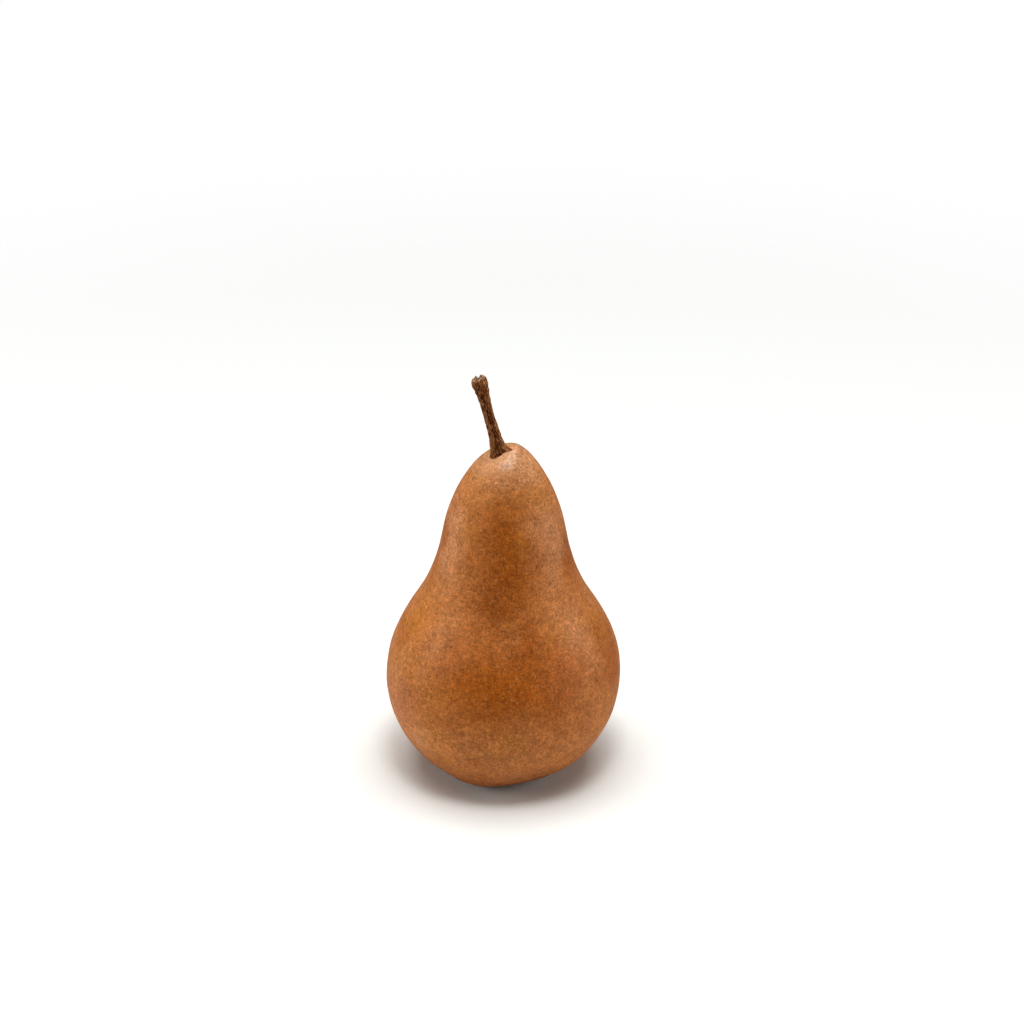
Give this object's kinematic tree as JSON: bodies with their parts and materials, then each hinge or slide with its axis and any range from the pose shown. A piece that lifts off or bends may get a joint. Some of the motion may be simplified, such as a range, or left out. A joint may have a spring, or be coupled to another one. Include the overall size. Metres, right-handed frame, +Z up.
{
  "type": "pear",
  "caption": "Ripe russet pear with a long tapering neck and a round belly, upright on its blossom end, with a leaning woody stem and a dried calyx underneath.",
  "frame": {"origin": "on the surface that the pear stands on, under the middle of the belly", "axes": "+Z up from the blossom end to the stem, -X the side that the stem leans to, -Y the front"},
  "size_m": [0.0721, 0.0718, 0.1307],
  "materials": {
    "skin": "satin russet skin, cinnamon brown over ochre, finely speckled",
    "stem": "dry dark brown bark with lengthwise ridges and pale flecks",
    "calyx": "dried, brittle and nearly black"
  },
  "bodies": {
    "root": {"fruit": "skin", "stem": "stem", "calyx": "calyx"}
  },
  "joints": []
}
